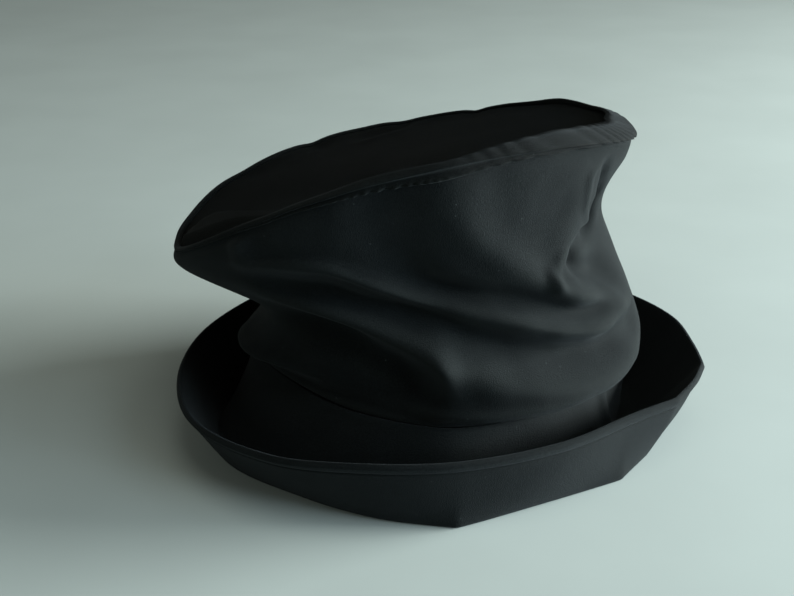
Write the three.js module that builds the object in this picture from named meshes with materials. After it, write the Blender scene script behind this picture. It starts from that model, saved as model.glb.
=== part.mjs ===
// A soft wide-brim hat, standing on a table: slouched crown, round sunk tip,
// two-layer brim turned up all round. Millimetres, +Z up, front is -Y.
// Compass angles: 0 right, 90 back, 180 left, 270 front.

import * as THREE from "three";

// Driving dimensions
const SEAM_HEIGHT = 36;        // crown seam above the table
const CROWN_CLOTH = 1.6;       // crown side wall
const TIP_CLOTH = 1.5;         // top panel
const BRIM_LAYER = 1.3;        // each layer of the brim
const GAP = 0.3;               // between neighbouring pieces
const RIM_ROLL = 4.5;          // upper layer rolled over the rim, outside
const WELT_FROM = 0.945;       // lower edge of the welt, share of the crown's height
const WELT_PROUD = 1.9;        // welt thickness
const TIP_SINK = 2.5;          // top panel below its edge
const TIP_SAG = 10;            // and further down in its middle

// Sections of the crown, seam (v = 0) to tip edge (v = 1): tilted ovals whose
// front, back, back left and back right are lifted above their sides.
const SECTIONS = [
  { v: 0.00, x: 1.5, z: 36.0, halfX: 97.5, halfY: 90, tilt: 0.000, liftFront: 0, liftBack: 0, riseLeft: 0, riseRight: 0 },
  { v: 0.20, x: -0.5, z: 50.0, halfX: 101.0, halfY: 97, tilt: 0.070, liftFront: 4, liftBack: 4, riseLeft: 0, riseRight: 0 },
  { v: 0.42, x: -4.5, z: 86.5, halfX: 84.2, halfY: 86, tilt: 0.300, liftFront: 10, liftBack: 6, riseLeft: 0, riseRight: 0 },
  { v: 0.70, x: -20.0, z: 111.5, halfX: 109.8, halfY: 96, tilt: 0.268, liftFront: 26, liftBack: 2, riseLeft: 6, riseRight: 2 },
  { v: 1.00, x: -20.3, z: 121.0, halfX: 112.0, halfY: 99, tilt: 0.266, liftFront: 35, liftBack: -1, riseLeft: 12, riseRight: 4 },
];
const RISE_LEFT_AT = 130;      // compass angle of the lift at the back left
const RISE_RIGHT_AT = 60;      // and at the back right, the top of the hat

// Folds of the crown side: a path of [angle, v] points; the cloth is moved out
// along the radius and up, less and less away from the path.
const FOLDS = [
  { name: "lower left drawn in", path: [[205, 0.16], [225, 0.15], [250, 0.13], [263, 0.12]],
    width: 20, out: -7, rise: 0, fadeIn: 0.2, fadeOut: 0.12 },
  { name: "crease under the lip", path: [[200, 0.48], [217, 0.48], [231, 0.43], [246, 0.37], [257, 0.32], [269, 0.20]],
    width: 10, out: -9, rise: 0, fadeIn: 0.2, fadeOut: 0.25 },
  { name: "overhanging lip", path: [[210, 0.61], [220, 0.595], [231, 0.54], [246, 0.47], [257, 0.41], [275, 0.30]],
    width: 11, out: 11, rise: -1, fadeIn: 0.4, fadeOut: 0.25 },
  { name: "belly over the seam", path: [[267, 0.26], [277, 0.235], [291, 0.20], [304, 0.185], [345, 0.19]],
    width: 15, out: 8, rise: 0, fadeIn: 0.1, fadeOut: 0.3 },
  { name: "valley over the belly", path: [[246, 0.55], [267, 0.39], [285, 0.31], [305, 0.28], [334, 0.26]],
    width: 8, out: -5, rise: 0, fadeIn: 0.35, fadeOut: 0.15 },
  { name: "ridge over the valley", path: [[240, 0.65], [266, 0.48], [285, 0.37], [305, 0.33], [342, 0.30]],
    width: 8, out: 4, rise: 0, fadeIn: 0.3, fadeOut: 0.12 },
  { name: "hollow under the front panel", path: [[274, 0.64], [282, 0.50], [292, 0.40], [306, 0.36]],
    width: 10, out: -7, rise: 0, fadeIn: 0.35, fadeOut: 0.25 },
  { name: "front turn", path: [[274, 0.98], [277, 0.78], [279, 0.62]],
    width: 20, out: 4, rise: 0, fadeIn: 0.2, fadeOut: 0.3 },
  { name: "hooked ridge", path: [[322, 0.84], [325, 0.58], [315, 0.44], [310, 0.38], [318, 0.34], [338, 0.32]],
    width: 9, out: 4, rise: 0, fadeIn: 0.35, fadeOut: 0.25 },
  { name: "pinched pocket", path: [[340, 0.58], [332, 0.48], [322, 0.41]],
    width: 11, out: -7, rise: 0, fadeIn: 0.3, fadeOut: 0.25 },
];
const FOLD_RADIUS = 98;        // millimetres per radian round the crown
const FOLD_HEIGHT = 165;       // millimetres from seam to tip edge

// Stations round the brim: reach of the crown seam, of the inner and outer edge
// of the flat on the table (heel, fold) and of the rim, the rim's height, and how
// far the wall bulges between fold and rim. Corner rows are pointed in plan.
const STATIONS = [
  { angle: 0, seam: 98.5, heel: 92, fold: 104, rim: 134, rimHeight: 34, bow: 1, corner: false },
  { angle: 14, seam: 99, heel: 95, fold: 104, rim: 132.5, rimHeight: 37, bow: 0, corner: false },
  { angle: 32, seam: 98, heel: 99, fold: 105, rim: 126, rimHeight: 38.5, bow: 0, corner: false },
  { angle: 56, seam: 94, heel: 101, fold: 106, rim: 123, rimHeight: 39, bow: 0, corner: false },
  { angle: 90, seam: 91, heel: 103, fold: 108, rim: 121, rimHeight: 40, bow: 0, corner: false },
  { angle: 126, seam: 93, heel: 103, fold: 108, rim: 119, rimHeight: 39, bow: 0, corner: false },
  { angle: 150, seam: 95, heel: 103, fold: 108, rim: 121, rimHeight: 37, bow: 0, corner: false },
  { angle: 170, seam: 97, heel: 104, fold: 109, rim: 130, rimHeight: 32, bow: 0, corner: false },
  { angle: 190, seam: 92, heel: 112, fold: 117, rim: 135.5, rimHeight: 29, bow: 0, corner: false },
  { angle: 212, seam: 86, heel: 116, fold: 122, rim: 141, rimHeight: 28, bow: 0, corner: false },
  { angle: 236, seam: 88.5, heel: 111, fold: 117, rim: 142.5, rimHeight: 32, bow: 1, corner: false },
  { angle: 255, seam: 92.5, heel: 114, fold: 120, rim: 139, rimHeight: 37, bow: 1, corner: false },
  { angle: 272.3, seam: 96.5, heel: 118, fold: 125, rim: 136, rimHeight: 38, bow: 0, corner: true },
  { angle: 294, seam: 93, heel: 106, fold: 112, rim: 127, rimHeight: 38, bow: 1, corner: false },
  { angle: 316.2, seam: 90.5, heel: 109, fold: 117.5, rim: 124, rimHeight: 37.5, bow: 0, corner: true },
  { angle: 329, seam: 90, heel: 98, fold: 115, rim: 131, rimHeight: 36, bow: 1, corner: true },
  { angle: 340, seam: 91.5, heel: 91, fold: 112, rim: 133, rimHeight: 35, bow: 2, corner: false },
  { angle: 351, seam: 95, heel: 90, fold: 107, rim: 136, rimHeight: 33, bow: 1, corner: true },
];

// Where the form is sampled: rows of points run along the lip of the overhang,
// whose height on the side wall is given round the compass.
const LIP = [
  { angle: 0, v: 0.30 },
  { angle: 60, v: 0.40 },
  { angle: 120, v: 0.47 },
  { angle: 180, v: 0.57 },
  { angle: 215, v: 0.59 },
  { angle: 240, v: 0.50 },
  { angle: 262, v: 0.38 },
  { angle: 285, v: 0.30 },
  { angle: 320, v: 0.27 },
  { angle: 360, v: 0.30 },
];
const ROWS_BELOW_LIP = [0, 0.14, 0.28, 0.42, 0.55, 0.67, 0.78, 0.89];
const ROWS_ABOVE_LIP = [0, 0.08, 0.17, 0.27, 0.38, 0.50, 0.63, 0.76, 0.89];
const TIP_RINGS = [1, 0.965, 0.85, 0.62, 0.34];
const FRONT_FROM = 190;
const FRONT_TO = 350;
const FRONT_STEPS = 36;
const BACK_STEPS = 28;

const UP = new THREE.Vector3(0, 0, 1);
const rad = THREE.MathUtils.degToRad;
const clamp01 = (t) => THREE.MathUtils.clamp(t, 0, 1);
const soften = (t) => THREE.MathUtils.smoothstep(t, 0, 1);

/** Value at s of a smooth curve through the rows (knot column, value column). */
function alongRows(rows, knot, column, s) {
  let i = 0;
  while (i < rows.length - 2 && s > rows[i + 1][knot]) i += 1;
  const slope = (a, b) => (rows[b][column] - rows[a][column]) / (rows[b][knot] - rows[a][knot]);
  const span = rows[i + 1][knot] - rows[i][knot];
  const t = (s - rows[i][knot]) / span;
  const m0 = slope(Math.max(i - 1, 0), i + 1);
  const m1 = slope(i, Math.min(i + 2, rows.length - 1));
  const t2 = t * t;
  const t3 = t2 * t;
  return (2 * t3 - 3 * t2 + 1) * rows[i][column] + (t3 - 2 * t2 + t) * span * m0
    + (3 * t2 - 2 * t3) * rows[i + 1][column] + (t3 - t2) * span * m1;
}

/** Point of a brim loop ("seam", "heel", "fold" or "rim") at a compass angle in degrees. */
function loopPoint(reach, height, degrees) {
  const count = STATIONS.length;
  const turn = ((degrees % 360) + 360) % 360;
  const row = (k) => {
    const lap = Math.floor(k / count);
    const station = STATIONS[k - lap * count];
    const at = rad(station.angle);
    return {
      angle: station.angle + 360 * lap,
      corner: station.corner && reach !== "seam",
      point: new THREE.Vector3(station[reach] * Math.cos(at), station[reach] * Math.sin(at), height(station)),
    };
  };
  let i = 0;
  while (row(i + 1).angle <= turn) i += 1;
  const [before, start, end, after] = [row(i - 1), row(i), row(i + 1), row(i + 2)];
  const slope = (a, b) => b.point.clone().sub(a.point).divideScalar(b.angle - a.angle);
  const span = end.angle - start.angle;
  const t = (turn - start.angle) / span;
  const leave = start.corner ? slope(start, end) : slope(before, end);
  const arrive = end.corner ? slope(start, end) : slope(start, after);
  const t2 = t * t;
  const t3 = t2 * t;
  return start.point.clone().multiplyScalar(2 * t3 - 3 * t2 + 1)
    .addScaledVector(leave, (t3 - 2 * t2 + t) * span)
    .addScaledVector(end.point, 3 * t2 - 2 * t3)
    .addScaledVector(arrive, (t3 - t2) * span);
}

const seamPoint = (degrees) => loopPoint("seam", () => SEAM_HEIGHT, degrees);
const heelPoint = (degrees) => loopPoint("heel", () => 0, degrees);
const foldPoint = (degrees) => loopPoint("fold", () => 0, degrees);
const rimPoint = (degrees) => loopPoint("rim", (station) => station.rimHeight, degrees);

/** Strength 0..1 of a fold at a place on the crown side. */
function foldStrength(fold, degrees, v) {
  const place = (point) => new THREE.Vector2(rad(point[0]) * FOLD_RADIUS, point[1] * FOLD_HEIGHT);
  const knots = fold.path.map(place);
  const lengths = knots.slice(1).map((knot, i) => knot.distanceTo(knots[i]));
  const total = lengths.reduce((sum, length) => sum + length, 0);
  let best = 0;
  for (const lap of [-360, 0, 360]) {
    const here = place([degrees + lap, v]);
    let run = 0;
    let nearest = Infinity;
    let share = 0;
    lengths.forEach((length, i) => {
      const along = knots[i + 1].clone().sub(knots[i]).divideScalar(length);
      const t = THREE.MathUtils.clamp(here.clone().sub(knots[i]).dot(along), 0, length);
      const distance = here.distanceTo(knots[i].clone().addScaledVector(along, t));
      if (distance < nearest) {
        nearest = distance;
        share = (run + t) / total;
      }
      run += length;
    });
    const ends = soften(share / fold.fadeIn) * soften((1 - share) / fold.fadeOut);
    best = Math.max(best, Math.exp(-((nearest / fold.width) ** 2)) * ends);
  }
  return best;
}

/** Point on the outside of the crown side: compass angle in degrees, v 0 seam to 1 tip edge. */
function crownPoint(degrees, v) {
  const at = (column) => alongRows(SECTIONS, "v", column, v);
  const cos = Math.cos(rad(degrees));
  const sin = Math.sin(rad(degrees));
  const towards = (compass) => Math.max(0, Math.cos(rad(degrees - compass)));
  const lift = sin < 0 ? at("liftFront") * Math.abs(sin) ** 1.6 : at("liftBack") * sin * sin;
  const left = at("riseLeft") * towards(RISE_LEFT_AT) ** 3;
  const right = at("riseRight") * towards(RISE_RIGHT_AT) ** 3;
  const point = new THREE.Vector3(
    at("x") + at("halfX") * cos,
    at("halfY") * sin,
    at("z") + at("tilt") * at("halfX") * cos + lift + left + right,
  );
  const foot = SECTIONS[0];
  const oval = new THREE.Vector3(foot.x + foot.halfX * cos, foot.halfY * sin, foot.z);
  const ease = clamp01(1 - v / 0.18) ** 2;
  point.addScaledVector(seamPoint(degrees).sub(oval), ease);
  const outward = new THREE.Vector3(cos, sin, 0);
  for (const fold of FOLDS) {
    const strength = foldStrength(fold, degrees, v) * clamp01(v / 0.05);
    point.addScaledVector(outward, strength * fold.out).addScaledVector(UP, strength * fold.rise);
  }
  return point;
}

/** Compass angles of the sections: closer at the front, and one on every pointed corner. */
function compassAngles() {
  const angles = [];
  for (let i = 0; i < FRONT_STEPS; i += 1) {
    angles.push(FRONT_FROM + ((FRONT_TO - FRONT_FROM) * i) / FRONT_STEPS);
  }
  for (let i = 0; i < BACK_STEPS; i += 1) {
    angles.push(FRONT_TO + ((FRONT_FROM + 360 - FRONT_TO) * i) / BACK_STEPS);
  }
  for (const station of STATIONS.filter((row) => row.corner)) {
    const gaps = angles.map((angle) => Math.abs(angle - station.angle));
    angles[gaps.indexOf(Math.min(...gaps))] = station.angle;
  }
  return angles;
}

const ANGLES = compassAngles();

/** Heights on the side wall at which a compass angle is sampled, seam to tip edge. */
function crownLevels(degrees) {
  const lip = alongRows(LIP, "angle", "v", degrees % 360);
  return [
    ...ROWS_BELOW_LIP.map((share) => lip * share),
    ...ROWS_ABOVE_LIP.map((share) => lip + (WELT_FROM - lip) * share),
    WELT_FROM,
    1,
  ];
}

/** Grid of crown points and of unit normals, one row per compass angle. */
function crownGrid() {
  const points = ANGLES.map((angle) => crownLevels(angle).map((v) => crownPoint(angle, v)));
  const count = points.length;
  const normals = points.map((row, i) => row.map((point, j) => {
    const around = points[(i + 1) % count][j].clone().sub(points[(i + count - 1) % count][j]);
    const upper = row[Math.min(j + 1, row.length - 1)];
    const lower = row[Math.max(j - 1, 0)];
    return around.cross(upper.clone().sub(lower)).normalize();
  }));
  return { points, normals };
}

const CROWN = crownGrid();

/** Triangle indices of a quad, cut along the diagonal whose middle lies further out. */
function splitQuad(corners, positions) {
  const [a, b, c, d] = corners.map((index) => positions[index]);
  const outward = a.clone().add(b).add(c).add(d).normalize().add(UP);
  const twist = a.clone().add(c).sub(b).sub(d).dot(outward);
  const [p, q, r, s] = corners;
  return twist > 0 ? [p, q, r, p, r, s] : [p, q, s, q, r, s];
}

/** Closed mesh from positions and quads or triangles, turned so that its faces look out. */
function solid(name, colour, positions, faces) {
  let index = faces.flatMap((face) => (face.length === 3 ? face : splitQuad(face, positions)));
  let volume = 0;
  for (let i = 0; i < index.length; i += 3) {
    const [a, b, c] = [positions[index[i]], positions[index[i + 1]], positions[index[i + 2]]];
    volume += a.dot(b.clone().cross(c));
  }
  if (volume < 0) {
    index = index.reverse();
  }
  const geometry = new THREE.BufferGeometry();
  const flat = positions.flatMap((point) => point.toArray());
  geometry.setAttribute("position", new THREE.Float32BufferAttribute(flat, 3));
  geometry.setIndex(index);
  geometry.computeVertexNormals();
  const material = new THREE.MeshStandardMaterial({ color: colour, roughness: 0.9, metalness: 0 });
  const mesh = new THREE.Mesh(geometry, material);
  mesh.name = name;
  return mesh;
}

/** Ring of cloth: one closed profile per compass angle, joined all the way round. */
function ring(name, colour, profiles) {
  const count = profiles.length;
  const size = profiles[0].length;
  const faces = [];
  for (let i = 0; i < count; i += 1) {
    const here = i * size;
    const next = ((i + 1) % count) * size;
    for (let j = 0; j < size; j += 1) {
      const k = (j + 1) % size;
      faces.push([here + j, next + j, next + k, here + k]);
    }
  }
  return solid(name, colour, profiles.flat(), faces);
}

/** Side wall of the crown: outer skin up, inner skin down. */
function crownSide() {
  const profiles = CROWN.points.map((row, i) => {
    const inner = row.map((point, j) => {
      const inside = point.clone().addScaledVector(CROWN.normals[i][j], -CROWN_CLOTH);
      inside.z = j === 0 ? Math.max(inside.z, point.z) : inside.z;
      return inside;
    });
    return [...row.map((point) => point.clone()), ...inner.reverse()];
  });
  return ring("crown_side", 0x1d2324, profiles);
}

/** Place near the tip edge: n out of the side wall, t up along it. */
function atEdge(i, n, t) {
  const last = CROWN.points[i].length - 1;
  const edge = CROWN.points[i][last];
  const up = edge.clone().sub(CROWN.points[i][last - 1]).normalize();
  return edge.clone().addScaledVector(CROWN.normals[i][last], n).addScaledVector(up, t);
}

/** Round top panel, sunk inside the edge and slack in the middle. */
function crownTip() {
  const inset = CROWN_CLOTH + GAP;
  const middle = new THREE.Vector3();
  ANGLES.forEach((angle, i) => middle.addScaledVector(atEdge(i, 0, 0), 1 / ANGLES.length));
  const positions = [];
  for (const side of [0, 1]) {
    for (const share of TIP_RINGS) {
      ANGLES.forEach((angle, i) => {
        const edge = atEdge(i, -inset, -GAP - side * TIP_CLOTH);
        const drop = TIP_SINK * clamp01((1 - share) * 12) + TIP_SAG * (1 - share * share);
        positions.push(middle.clone().lerp(edge, share).addScaledVector(UP, -drop));
      });
    }
    positions.push(middle.clone().addScaledVector(UP, -TIP_SINK - TIP_SAG - GAP - side * TIP_CLOTH));
  }
  const count = ANGLES.length;
  const skin = count * TIP_RINGS.length + 1;
  const faces = [];
  for (let i = 0; i < count; i += 1) {
    const j = (i + 1) % count;
    faces.push([i, i + skin, j + skin, j]);
    for (let ringIndex = 0; ringIndex < TIP_RINGS.length; ringIndex += 1) {
      const base = ringIndex * count;
      const isLast = ringIndex === TIP_RINGS.length - 1;
      const inward = isLast ? [skin - 1] : [base + count + j, base + count + i];
      const top = [base + i, base + j, ...inward];
      faces.push(top);
      faces.push(top.map((index) => index + skin).reverse());
    }
  }
  return solid("crown_tip", 0x171c1d, positions, faces);
}

/** Turned and stitched-down band round the tip edge, lapping over the top of the side wall. */
function tipWelt() {
  const low = CROWN.points[0].length - 2;
  const profiles = ANGLES.map((angle, i) => {
    const foot = (n) => CROWN.points[i][low].clone().addScaledVector(CROWN.normals[i][low], n);
    return [
      foot(GAP),
      foot(GAP + WELT_PROUD * 0.8),
      atEdge(i, GAP + WELT_PROUD, -1),
      atEdge(i, GAP + WELT_PROUD * 0.5, GAP + WELT_PROUD * 0.8),
      atEdge(i, -CROWN_CLOTH - 0.6, GAP + WELT_PROUD * 0.9),
      atEdge(i, -CROWN_CLOTH - 1.4, GAP),
      atEdge(i, GAP, GAP),
    ];
  });
  return ring("tip_welt", 0x22292a, profiles);
}

/** Brim at a compass angle, a depth in from its outside: stand head, heel, toe and rim. */
function brimCurve(degrees, depth) {
  const outward = new THREE.Vector3(Math.cos(rad(degrees)), Math.sin(rad(degrees)), 0);
  const loops = [seamPoint(degrees), heelPoint(degrees), foldPoint(degrees), rimPoint(degrees)];
  const [seam, heel, toe, rim] = loops.map((point) => point.dot(outward));
  const thickness = 2 * BRIM_LAYER + GAP;
  const corners = [
    new THREE.Vector2(seam - GAP - thickness, SEAM_HEIGHT - GAP),
    new THREE.Vector2(heel, 0),
    new THREE.Vector2(toe, 0),
    new THREE.Vector2(rim, loops[3].z),
  ];
  const sides = [0, 1, 2].map((k) => {
    const along = corners[k + 1].clone().sub(corners[k]);
    return new THREE.Vector2(-along.y, along.x).normalize();
  });
  const mitre = (k) => {
    const sum = sides[k - 1].clone().add(sides[k]);
    return corners[k].clone().addScaledVector(sum, depth / (1 + sides[k - 1].dot(sides[k])));
  };
  const moved = [
    corners[0].clone().setX(corners[0].x + depth / sides[0].x),
    mitre(1),
    mitre(2),
    corners[3].clone().addScaledVector(sides[2], depth),
  ];
  return moved.map((flat, k) => {
    const sideways = loops[k].clone().addScaledVector(outward, -loops[k].dot(outward));
    return sideways.addScaledVector(outward, flat.x).setZ(flat.y);
  });
}

/** Points of the curve from stand to wall end, with middles on the stand and on the wall. */
function brimSkin(degrees, depth, shortBy) {
  const [head, heel, toe, rim] = brimCurve(degrees, depth);
  const end = toe.clone().lerp(rim, 1 - shortBy / rim.distanceTo(toe));
  const outward = new THREE.Vector3(Math.cos(rad(degrees)), Math.sin(rad(degrees)), 0);
  const bulge = alongRows([...STATIONS, { ...STATIONS[0], angle: 360 }], "angle", "bow", ((degrees % 360) + 360) % 360);
  const middle = toe.clone().lerp(rim, 0.45).addScaledVector(outward, bulge);
  return [head, head.clone().lerp(heel, 0.5), heel, toe, middle, end];
}

/** Upper layer of the brim, rolled over the rim down to the seam line outside. */
function brimTop() {
  const low = BRIM_LAYER + GAP;
  const high = 2 * BRIM_LAYER + GAP;
  const profiles = ANGLES.map((angle) => {
    const face = brimSkin(angle, high, 0.8);
    const back = brimSkin(angle, low, RIM_ROLL);
    const crest = brimSkin(angle, high * 0.5, 0)[5];
    const outside = brimSkin(angle, 0, 0.8)[5];
    const rollEnd = brimSkin(angle, 0, RIM_ROLL)[5];
    return [...face, crest, outside, rollEnd, ...back.reverse()];
  });
  return ring("brim_top", 0x191e20, profiles);
}

/** Under layer of the brim, which rests on the table. */
function brimUnder() {
  const profiles = ANGLES.map((angle) => {
    const outside = brimSkin(angle, 0, RIM_ROLL + GAP);
    const inside = brimSkin(angle, BRIM_LAYER, RIM_ROLL + GAP);
    return [...outside, ...inside.reverse()];
  });
  return ring("brim_under", 0x1f2527, profiles);
}

const hat = new THREE.Group();
hat.name = "wide_brim_hat";
hat.add(crownSide(), crownTip(), tipWelt(), brimTop(), brimUnder());

// The origin is the middle of the hat's footprint, on the table.
const bounds = new THREE.Box3().setFromObject(hat);
const middle = bounds.getCenter(new THREE.Vector3());
hat.position.set(-middle.x, -middle.y, -bounds.min.z);
hat.updateMatrixWorld(true);

export default hat;
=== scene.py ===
"""Soft wide-brim hat with a slouched crown and a turned-up brim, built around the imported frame.

Lengths in the tables are millimetres and angles are degrees; meshes are metres.
Compass angles go round the hat: 0 right, 90 back, 180 left, 270 front.
"""

import logging
import math
from dataclasses import dataclass
from enum import Enum
from typing import Optional, Sequence, Union

import bmesh
import bpy
import numpy as np
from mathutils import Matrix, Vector, noise


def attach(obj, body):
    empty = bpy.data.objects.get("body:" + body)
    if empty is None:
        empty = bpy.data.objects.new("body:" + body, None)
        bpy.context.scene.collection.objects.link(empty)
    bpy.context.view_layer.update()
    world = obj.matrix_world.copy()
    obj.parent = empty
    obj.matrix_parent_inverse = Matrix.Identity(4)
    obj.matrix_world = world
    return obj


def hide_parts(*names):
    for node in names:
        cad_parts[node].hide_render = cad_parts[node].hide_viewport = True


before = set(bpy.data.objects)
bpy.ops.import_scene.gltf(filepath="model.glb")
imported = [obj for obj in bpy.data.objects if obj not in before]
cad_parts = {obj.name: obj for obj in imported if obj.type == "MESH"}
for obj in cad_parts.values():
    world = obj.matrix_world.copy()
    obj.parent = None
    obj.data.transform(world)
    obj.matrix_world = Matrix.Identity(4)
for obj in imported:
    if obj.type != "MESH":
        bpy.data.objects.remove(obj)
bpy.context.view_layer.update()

Array = np.ndarray
Piece = bpy.types.Object
Material = bpy.types.Material
Socket = bpy.types.NodeSocket
Number = Union[float, int]
Place = tuple[float, float, float]
Colour = tuple[float, float, float, float]
Swell = tuple[float, float, float]  # height, breadth and seed of small unevenness, in millimetres
log = logging.getLogger("hat")

MM = 0.001
HAT_PLACE = np.array([0.275, 7.458, 0.0])  # where the tables' zero stands in the frame
SEAM_HEIGHT = 36.0  # crown seam above the table
GAP = 0.3  # between neighbouring pieces
CROWN_CLOTH = 1.6
TIP_CLOTH = 1.5
BRIM_LAYER = 1.3
RIM_ROLL = 4.5  # upper layer rolled over the rim, outside
WELT_PROUD = 1.9
CROWN_RADIUS = 98.0  # millimetres per radian round the crown
CROWN_HEIGHT = 165.0  # millimetres of cloth from seam to tip edge
BRIM_RADIUS = 115.0  # millimetres per radian round the brim
STAND_RADIUS = 94.0  # and round its stand
STAND_HEIGHT = 40.0
UV_PER_MM = 0.01
FULL_TURN = 360.0
FRONT_FROM, FRONT_TO = 190.0, 350.0  # compass angles of the side that shows
SMALLEST = 1e-9  # keeps a division off zero
SAME_PLACE = 2e-6  # metres between corners of a mesh that are one
RIDGE_CONTRAST = 1.6  # ridge value per millimetre that a point stands out
WAVES_PER_RIB = 0.63  # scale of the wave texture that gives one rib per unit


class Slot(Enum):
    """Material slots of the record."""

    CROWN = "crown_cloth"
    BRIM = "brim_cloth"


@dataclass(frozen=True)
class Section:
    """Tilted oval of the crown at height v, with its front, back and back corners lifted."""

    v: float
    x: float
    z: float
    half_x: float
    half_y: float
    tilt: float
    lift_front: float = 0.0
    lift_back: float = 0.0
    rise_left: float = 0.0
    rise_right: float = 0.0


SECTIONS = (
    Section(0.00, 1.5, 36.0, 97.5, 90, 0.000),
    Section(0.20, -0.5, 50.0, 101.0, 97, 0.070, 4, 4),
    Section(0.42, -4.5, 86.5, 84.2, 86, 0.300, 10, 6),
    Section(0.70, -20.0, 111.5, 109.8, 96, 0.268, 26, 2, 6, 2),
    Section(1.00, -20.3, 121.0, 112.0, 99, 0.266, 35, -1, 12, 4),
)
RISE_LEFT_AT = 130.0
RISE_RIGHT_AT = 60.0


@dataclass(frozen=True)
class Station:
    """Brim at one compass angle: reach of seam, heel, fold and rim, and the rim's height.

    The turned-up wall is bowed out by bow. Above the table its foot is rounder than the fold
    and lies foot_in inside it.
    """

    angle: float
    seam: float
    heel: float
    fold: float
    rim: float
    rim_height: float
    bow: float = 0.0
    corner: bool = False
    rim_corner: bool = False
    foot_in: float = 0.0


STATIONS = (
    Station(0, 98.5, 92, 104, 134, 34, 1),
    Station(14, 99, 95, 104, 132.5, 37),
    Station(32, 98, 99, 105, 126, 38.5),
    Station(56, 94, 101, 106, 123, 39),
    Station(90, 91, 103, 108, 121, 40),
    Station(126, 93, 103, 108, 119, 39),
    Station(150, 95, 103, 108, 121, 37),
    Station(170, 97, 104, 109, 130, 32),
    Station(190, 92, 112, 117, 135.5, 29),
    Station(212, 86, 116, 122, 141, 28),
    Station(236, 88.5, 111, 117, 142.5, 32, 1),
    Station(255, 92.5, 112.5, 120, 140, 37, 1, foot_in=-1.0),
    Station(272.3, 96.5, 115.5, 125, 135, 38, 0, True, foot_in=5.0),
    Station(294, 93, 108, 112, 127.5, 38, 1, foot_in=-3.0),
    Station(316.2, 90.5, 107, 117.5, 124, 37.5, 0, True, foot_in=4.0),
    Station(329, 90, 98, 115, 131, 36, 1, True, True),
    Station(340, 91.5, 91, 112, 133, 35, 2),
    Station(351, 95, 90, 107, 136, 33, 1, True, True),
)


@dataclass(frozen=True)
class Fold:
    """Line of a fold in the cloth.

    Each knot is (across, up, width, out): a place on the panel, how far the fold
    spreads to either side, and how far it stands out there, less than zero for a dent.
    Rise is the share of that by which the cloth also goes up.
    """

    name: str
    knots: tuple[tuple[float, float, float, float], ...]
    rise: float = 0.0


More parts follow.
